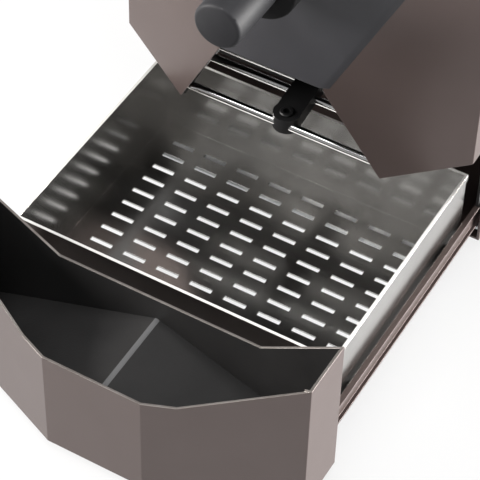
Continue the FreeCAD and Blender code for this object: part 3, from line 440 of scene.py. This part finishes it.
SLOT_FINISH = {
    "taupe_paint": TAUPE,
    "panel_paint": PANEL,
    "black_powder": POWDER,
    "stainless": STAINLESS,
    "bar_chrome": CHROME,
    "zinc_steel": ZINC,
    "grip": GRIP,
    "black_plastic": BLACK,
    "dark_steel": DARK_STEEL,
    "gear": MACHINED,
    "brass": BRONZE,
    "rubber": RUBBER,
    "board": CIRCUIT,
    "heater": HEATER,
}
NODE_SLOT = {part["node"]: part["material_slot"] for part in frame["record"]["subparts"]}
NODE_BODY = {
    node: body
    for body, nodes in frame["record"]["behaviour"]["bodies"].items()
    for node in nodes
}


def wear(thing, *finishes):
    """Gives an object its finishes, one for each material slot."""
    while len(thing.data.materials) < len(finishes):
        thing.data.materials.append(finishes[0])
    for place, finish in zip(thing.material_slots, finishes):
        place.link = "OBJECT"
        place.material = finish


def finish_frame():
    """Gives each CAD node the finish of its slot."""
    for node, thing in frame["nodes"].items():
        wear(thing, SLOT_FINISH[NODE_SLOT[node]])


# Pieces

FLAT_WITHIN = math.radians(1.0)
SAME_POINT = 0.002 * MM
SHARP_FROM = 32.0


def piece(name, mesh, body, slot, *finishes):
    """A new visible object with its finishes, riding a body."""
    thing = bpy.data.objects.new(name, mesh)
    bpy.context.collection.objects.link(thing)
    for finish in finishes:
        mesh.materials.append(finish)
    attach(thing, body)
    return thing


def clean_copy(node):
    """A node's mesh with its loose triangles joined into whole faces."""
    work = bmesh.new()
    work.from_mesh(frame["nodes"][node].data)
    bmesh.ops.remove_doubles(work, verts=work.verts, dist=SAME_POINT)
    bmesh.ops.dissolve_limit(
        work, angle_limit=FLAT_WITHIN, verts=work.verts, edges=work.edges
    )
    return work


def mesh_from(work, name):
    """Turns a working mesh into a stored one."""
    mesh = bpy.data.meshes.new(name)
    work.to_mesh(mesh)
    work.free()
    return mesh


def smooth_over(work, angle=SHARP_FROM):
    """Smooth shading, left sharp where faces meet at this many degrees or more."""
    limit = math.radians(angle)
    for face in work.faces:
        face.smooth = True
    for edge in work.edges:
        edge.smooth = len(edge.link_faces) == 2 and edge.calc_face_angle(0.0) < limit


def round_edges(thing, width, segments=2, angle=SHARP_FROM):
    """Rounds the edges that are sharper than this many degrees."""
    bevel = thing.modifiers.new("rounded_edges", "BEVEL")
    bevel.width = width
    bevel.segments = segments
    bevel.limit_method = "ANGLE"
    bevel.angle_limit = math.radians(angle)
    bevel.harden_normals = True
    bevel.use_clamp_overlap = True


def soften(node, width, segments=2, finish=None):
    """Stands for a node with the same shape and rounded edges."""
    work = clean_copy(node)
    smooth_over(work)
    mesh = mesh_from(work, node + "_soft")
    slot = NODE_SLOT[node]
    made = piece(node + "_soft", mesh, NODE_BODY[node], slot, finish or SLOT_FINISH[slot])
    round_edges(made, width, segments)
    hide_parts(node)


# Pieces with more than one finish

def make_bowl():
    """The bowl with a finish for its outside, its inside and its cut edges, the last a lighter
    paint that is a painted highlight along the rim.
    """
    painted, coated, worn = 0, 1, 2
    level = 0.2
    rim_area = 4.0e-4
    corner_area = 1.0e-5
    knee = 14.0
    low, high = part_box("drawer_bowl")
    centre = (low + high) / 2
    work = clean_copy("drawer_bowl")
    for face in work.faces:
        where = face.calc_center_median()
        towards = Vector((centre.x - where.x, centre.y - where.y, 0.0))
        faces_in = face.normal.dot(towards) > 0.0
        upward = face.normal.z > level
        at_rim = face.calc_area() < (rim_area if upward else corner_area)
        underneath = face.normal.z < -level
        inside = (faces_in or upward) and not underneath
        # The rim faces take the lighter finish (slot worn), a painted highlight along the cut
        # edge.
        face.material_index = worn if at_rim else coated if inside else painted
    smooth_over(work, knee)
    mesh = mesh_from(work, "bowl_shell")
    made = piece("bowl_shell", mesh, "drawer", "taupe_paint", TAUPE, POWDER, RIM_HIGHLIGHT)
    round_edges(made, 0.3 * MM, angle=knee)
    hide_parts("drawer_bowl")


def make_chaff_floor():
    """The tent-shaped floor of the bowl, with a rounded bend along its ridge that carries a
    painted highlight in a lighter powder coat.
    """
    bend = 1.5 * MM
    off_middle = 1 * MM
    shortest = 10 * MM
    knee = 13.0
    painted_highlight = 1
    work = clean_copy("chaff_floor")
    ridge = [
        edge for edge in work.edges
        if len(edge.link_faces) == 2
        and abs(edge.verts[0].co.x) + abs(edge.verts[1].co.x) < off_middle
        and edge.calc_length() > shortest
    ]
    rounded = bmesh.ops.bevel(
        work, geom=ridge, offset=bend, segments=5, affect="EDGES", profile=0.5
    )
    # The rounded ridge faces take the lighter coat, a painted highlight along the bend.
    for face in rounded["faces"]:
        face.material_index = painted_highlight
    smooth_over(work, knee)
    mesh = mesh_from(work, "chaff_tent")
    made = piece("chaff_tent", mesh, "drawer", "black_powder", POWDER, RIDGE_HIGHLIGHT)
    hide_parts("chaff_floor")


def make_bin():
    """The cooling bin, with a painted highlight in a bright finish on its upward top edge
    faces.
    """
    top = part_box("cooling_bin")[1].z
    within = 0.6 * MM
    level = 0.9
    polished, edge_highlight = 0, 1
    work = clean_copy("cooling_bin")
    for face in work.faces:
        at_top = top - face.calc_center_median().z < within
        upward = face.normal.z > level
        # Upward faces at the top edge take the bright finish, a painted highlight.
        face.material_index = edge_highlight if at_top and upward else polished
    smooth_over(work)
    mesh = mesh_from(work, "bin_shell")
    made = piece("bin_shell", mesh, "drawer", "stainless", STAINLESS, BIN_EDGE_HIGHLIGHT)
    round_edges(made, 0.12 * MM)
    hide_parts("cooling_bin")


# Repeats made as geometry trees

class Tree:
    """A geometry tree with named inputs, run once on an object and baked into its mesh."""

    def __init__(self, name, inputs):
        self.tree = bpy.data.node_groups.new(name, "GeometryNodeTree")
        sockets = self.tree.interface
        kinds = {float: "NodeSocketFloat", int: "NodeSocketInt", tuple: "NodeSocketVector"}
        sockets.new_socket("Geometry", in_out="INPUT", socket_type="NodeSocketGeometry")
        self.named = {}
        for title, value in inputs.items():
            made = sockets.new_socket(title, in_out="INPUT", socket_type=kinds[type(value)])
            self.named[title] = (made.identifier, value)
        sockets.new_socket("Geometry", in_out="OUTPUT", socket_type="NodeSocketGeometry")
        self.entry = self.tree.nodes.new("NodeGroupInput")
        self.exit = self.tree.nodes.new("NodeGroupOutput")

    def given(self, title):
        return self.entry.outputs[title]

    def node(self, kind, settings=None, sockets=None, outlet=0):
        made = self.tree.nodes.new(kind)
        for name, setting in (settings or {}).items():
            setattr(made, name, setting)
        for name, value in (sockets or {}).items():
            if isinstance(value, bpy.types.NodeSocket):
                self.tree.links.new(value, made.inputs[name])
            else:
                made.inputs[name].default_value = value
        return made.outputs[outlet]

    def finish(self, geometry, finish):
        real = self.node("GeometryNodeRealizeInstances", {}, {"Geometry": geometry})
        worn = self.node("GeometryNodeSetMaterial", {}, {"Geometry": real, "Material": finish})
        self.tree.links.new(worn, self.exit.inputs["Geometry"])

    def bake(self, name, start, body, slot, finish):
        """Runs the tree on a starting mesh and returns the result as a plain piece."""
        carrier = bpy.data.objects.new(name + "_carrier", start)
        bpy.context.collection.objects.link(carrier)
        grown = carrier.modifiers.new("grown", "NODES")
        grown.node_group = self.tree
        for identifier, value in self.named.values():
            grown[identifier] = value
        graph = bpy.context.evaluated_depsgraph_get()
        mesh = bpy.data.meshes.new_from_object(carrier.evaluated_get(graph), depsgraph=graph)
        mesh.name = name
        bpy.data.objects.remove(carrier)
        mesh.materials.clear()
        return piece(name, mesh, body, slot, finish)


ARC_STEPS = 96


def bars_on_arc(name, at, radius, bar, count, start, sweep, body, slot, finish):
    """Small bars round a centre, each pointing outwards: ticks, ribs and grips."""
    t = Tree(
        name, {
            "Radius": radius, "Count": count, "Start": start, "Sweep": sweep,
            "Bar": tuple(bar), "Centre": tuple(at),
        },
    )
    arc = t.node(
        "GeometryNodeCurveArc", {"mode": "RADIUS"},
        {
            "Resolution": ARC_STEPS, "Radius": t.given("Radius"),
            "Start Angle": t.given("Start"), "Sweep Angle": t.given("Sweep"),
        },
    )
    points = t.node(
        "GeometryNodeCurveToPoints", {"mode": "COUNT"},
        {"Curve": arc, "Count": t.given("Count")}, "Points",
    )
    where = t.node("GeometryNodeInputPosition")
    turned = t.node(
        "FunctionNodeAlignRotationToVector", {"axis": "X"}, {"Vector": where}
    )
    block = t.node("GeometryNodeMeshCube", {}, {"Size": t.given("Bar")})
    many = t.node(
        "GeometryNodeInstanceOnPoints", {},
        {"Points": points, "Instance": block, "Rotation": turned},
    )
    placed = t.node(
        "GeometryNodeTransform", {}, {"Geometry": many, "Translation": t.given("Centre")}
    )
    t.finish(placed, finish)
    return t.bake(name, bpy.data.meshes.new(name + "_start"), body, slot, finish)


# Case screws

def islands(node):
    """The separate solids of a node, each as its lowest and highest corner."""
    work = clean_copy(node)
    left = set(work.verts)
    boxes = []
    for first in work.verts:
        if first not in left:
            continue
        left.remove(first)
        queue = [first]
        low = high = first.co.copy()
        while queue:
            vert = queue.pop()
            low = Vector(map(min, low, vert.co))
            high = Vector(map(max, high, vert.co))
            for edge in vert.link_edges:
                other = edge.other_vert(vert)
                if other in left:
                    left.remove(other)
                    queue.append(other)
        boxes.append((low, high))
    work.free()
    return boxes


HEAD_RADIUS = 3.0 * MM
HEAD_HEIGHT = 1.9 * MM
HEAD_SIDES = 24
HEAD_DOME = ((1.0, 0.0), (0.97, 0.45), (0.80, 0.85), (0.56, 1.0))
HEAD_SHARP_FROM = 40.0
SOCKET_REACH = 0.46
SOCKET_FOOT = 0.25


def socket_head(radius, height):
    """A button head with a six-sided socket, standing on the XY plane."""
    work = bmesh.new()
    sides = HEAD_SIDES
    sixth = TURN / 6
    dome = [(radius * across, height * up) for across, up in HEAD_DOME]
    rings = [
        [
            work.verts.new((r * math.cos(TURN * i / sides), r * math.sin(TURN * i / sides), z))
            for i in range(sides)
        ]
        for r, z in dome
    ]
    reach = radius * SOCKET_REACH
    for level in (height, height * SOCKET_FOOT):
        ring = []
        for i in range(sides):
            angle = TURN * i / sides
            within = (angle + sixth / 2) % sixth - sixth / 2
            r = reach * math.cos(sixth / 2) / math.cos(within)
            ring.append(work.verts.new((r * math.cos(angle), r * math.sin(angle), level)))
        rings.append(ring)
    for inner, outer in zip(rings[1:], rings):
        for i in range(sides):
            j = (i + 1) % sides
            work.faces.new((outer[i], outer[j], inner[j], inner[i]))
    work.faces.new(rings[-1])
    smooth_over(work, HEAD_SHARP_FROM)
    return mesh_from(work, "socket_head")


def make_case_screws():
    """Button heads where the frame has its case screws, each along its own axis."""
    centre = Vector((0.0, 0.0, 0.15))
    start = bpy.data.meshes.new("screw_places")
    places, facing = [], []
    for low, high in islands("case_screws"):
        size = high - low
        thin = min(range(3), key=lambda k: size[k])
        middle = (low + high) / 2
        axis = Vector((0.0, 0.0, 0.0))
        axis[thin] = 1.0 if middle[thin] > centre[thin] else -1.0
        middle[thin] = low[thin] if axis[thin] > 0 else high[thin]
        places.append(middle)
        facing.append(axis)
    start.from_pydata(places, [], [])
    column = start.attributes.new("facing", "FLOAT_VECTOR", "POINT")
    for row, axis in zip(column.data, facing):
        row.vector = axis
    head = bpy.data.objects.new("head", socket_head(HEAD_RADIUS, HEAD_HEIGHT))
    bpy.context.collection.objects.link(head)
    t = Tree("case_screw_heads", {"Size": 1.0})
    inlet = t.given("Geometry")
    shape = t.node(
        "GeometryNodeObjectInfo", {"transform_space": "ORIGINAL"}, {"Object": head}, "Geometry"
    )
    axis = t.node(
        "GeometryNodeInputNamedAttribute", {"data_type": "FLOAT_VECTOR"}, {"Name": "facing"}
    )
    turned = t.node("FunctionNodeAlignRotationToVector", {"axis": "Z"}, {"Vector": axis})
    many = t.node(
        "GeometryNodeInstanceOnPoints", {},
        {
            "Points": inlet, "Instance": shape, "Rotation": turned,
            "Scale": t.given("Size"),
        },
    )
    t.finish(many, POWDER)
    made = t.bake("case_screw_heads", start, "housing", "black_powder", POWDER)
    bpy.data.objects.remove(head)
    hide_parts("case_screws")


# Printed marks and dials

def lettering(name, words, at, size, body):
    """Printed characters lying on a level face, as a thin mesh."""
    text = bpy.data.curves.new(name, "FONT")
    text.body = words
    text.size = size
    text.align_x = "CENTER"
    text.align_y = "CENTER"
    text.extrude = 0.02 * MM
    text.resolution_u = 3
    carrier = bpy.data.objects.new(name + "_text", text)
    bpy.context.collection.objects.link(carrier)
    graph = bpy.context.evaluated_depsgraph_get()
    mesh = bpy.data.meshes.new_from_object(carrier.evaluated_get(graph), depsgraph=graph)
    bpy.data.objects.remove(carrier)
    mesh.materials.clear()
    mesh.transform(Matrix.Translation(at))
    mesh.name = name
    piece(name, mesh, body, "stainless", MARK)


DIAL_SWEEP = math.radians(270.0)
DIAL_START = math.radians(-45.0)
TICKS_PER_NUMBER = 4
TICK = (1.1 * MM, 0.22 * MM)
TICK_GAP = 1.4 * MM
NUMBER_GAP = 3.3 * MM
NUMBER_SIZE = 2.4 * MM
RIBS = 36
RIB = (0.7 * MM, 0.75 * MM)
RIB_FOOT = 1.2 * MM
RIB_SUNK = 0.55 * MM
RIB_SHARE = 0.58
PRINT_HEIGHT = 0.05 * MM


def make_dial(knob, body, labels):
    """Printed ticks and numbers round a knob, and its finger ribs."""
    low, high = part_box(knob)
    plate_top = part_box("control_plate")[1].z
    middle = Vector(((low.x + high.x) / 2, (low.y + high.y) / 2, plate_top))
    radius = (high.x - low.x) / 2
    steps = TICKS_PER_NUMBER * (len(labels) - 1) + 1
    bars_on_arc(
        knob + "_ticks", middle + Vector((0, 0, PRINT_HEIGHT / 2)), radius + TICK_GAP,
        TICK + (PRINT_HEIGHT,), steps, DIAL_START, DIAL_SWEEP, "housing", "stainless", MARK,
    )
    for i, label in enumerate(labels):
        angle = DIAL_START + DIAL_SWEEP * (1.0 - i / (len(labels) - 1))
        reach = radius + NUMBER_GAP
        at = middle + Vector((reach * math.cos(angle), reach * math.sin(angle), PRINT_HEIGHT))
        lettering("%s_number_%d" % (knob, i), label, at, NUMBER_SIZE, "housing")
    rib = Vector(RIB + ((high.z - plate_top) * RIB_SHARE,))
    bars_on_arc(
        knob + "_ribs", middle + Vector((0, 0, RIB_FOOT + rib.z / 2)),
        radius - RIB_SUNK, rib, RIBS, 0.0, TURN * (RIBS - 1) / RIBS, body, "grip", GRIP,
    )


def surface_height(node, x, y):
    """Height of a node's upper surface under a point."""
    work = bmesh.new()
    work.from_mesh(frame["nodes"][node].data)
    tree = BVHTree.FromBMesh(work)
    well_above = Vector((x, y, 1.0))
    downward = Vector((0.0, 0.0, -1.0))
    place = tree.ray_cast(well_above, downward)[0]
    work.free()
    return place.z


def make_switch_marks():
    """The two characters printed on the rocker, near its ends."""
    inset = 3.0 * MM
    above = 0.04 * MM
    size = 3.2 * MM
    low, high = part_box("power_rocker")
    x = (low.x + high.x) / 2
    for words, y in (("O", high.y - inset), ("I", low.y + inset)):
        z = surface_height("power_rocker", x, y) + above
        lettering("rocker_mark_" + words, words, Vector((x, y, z)), size, "rocker")


# Stage

WHITE = (1.0, 1.0, 1.0)


def make_floor():
    """A wide pale table that glows a little, so that its shadows stay faint."""
    f = Finish("pale_floor")
    tone = f.grain(0.35, 3.0)
    finish = f.surface(
        Base_Color=f.blend(tone, (0.10, 0.10, 0.10, 1), (0.12, 0.12, 0.12, 1)),
        Roughness=tone * 0.1 + 0.5,
        Emission_Color=WHITE + (1.0,),
        Emission_Strength=0.78,
    )
    reach = 14.0
    work = bmesh.new()
    bmesh.ops.create_grid(work, x_segments=4, y_segments=4, size=reach)
    mesh = mesh_from(work, "floor")
    mesh.materials.append(finish)
    floor = bpy.data.objects.new("floor", mesh)
    bpy.context.collection.objects.link(floor)


def area_light(name, at, aim, width, height, power, colour=WHITE):
    """A rectangular light turned to face a point."""
    data = bpy.data.lights.new(name, "AREA")
    data.shape = "RECTANGLE"
    data.size = width
    data.size_y = height
    data.energy = power
    data.color = colour
    lamp = bpy.data.objects.new(name, data)
    lamp.location = at
    lamp.rotation_euler = (Vector(aim) - Vector(at)).to_track_quat("-Z", "Y").to_euler()
    bpy.context.collection.objects.link(lamp)


def make_lights():
    """A key at the front left, a low light at the right, one overhead and a faint sky."""
    middle = (0.0, 0.0, 0.10)
    area_light(
        "key_left", (-1.9, -1.1, 0.95), middle,
        width=1.3, height=1.1, power=130.0, colour=(1.0, 0.97, 0.94),
    )
    area_light(
        "side_right", (2.3, 1.20, 0.24), middle,
        width=1.5, height=0.5, power=285.0, colour=(1.0, 0.985, 0.965),
    )
    area_light("overhead", (0.0, -0.4, 2.1), middle, width=1.8, height=1.8, power=48.0)
    world = bpy.data.worlds.new("studio")
    world.use_nodes = True
    back = world.node_tree.nodes["Background"]
    back.inputs["Color"].default_value = WHITE + (1.0,)
    back.inputs["Strength"].default_value = 0.25
    bpy.context.scene.world = world
    bpy.context.scene.view_settings.view_transform = "Standard"


# Widths of the rounded edges

EDGES = {
    "left_side_shell": 0.4 * MM,
    "right_side_shell": 0.4 * MM,
    "front_panel": 0.5 * MM,
    "top_cover": 0.3 * MM,
    "base_tray": 0.3 * MM,
    "hopper_lid": 0.6 * MM,
    "bean_hopper": 0.2 * MM,
    "handle_grip": 1.6 * MM,
    "grate_spine": 0.8 * MM,
    "lid_knob": 0.6 * MM,
    "heat_knob": 0.8 * MM,
    "time_knob": 0.8 * MM,
    "start_button": 0.5 * MM,
    "power_rocker": 0.4 * MM,
    "control_plate": 0.3 * MM,
    "rear_panel": 0.2 * MM,
    "power_inlet": 0.4 * MM,
    "rubber_feet": 0.8 * MM,
    "left_drawer_rail": 0.15 * MM,
    "right_drawer_rail": 0.15 * MM,
}

# The whole scene

make_camera()
make_floor()
make_lights()
finish_frame()

make_bowl()
make_chaff_floor()
make_bin()
for node, width in EDGES.items():
    soften(node, width)
soften("handle_hub", 1.0 * MM, segments=3, finish=HUB)

make_case_screws()
make_dial("heat_knob", "heat_dial", [str(i) for i in range(1, 10)])
make_dial("time_knob", "time_dial", ["0", "5", "10", "15", "20", "25"])
make_switch_marks()
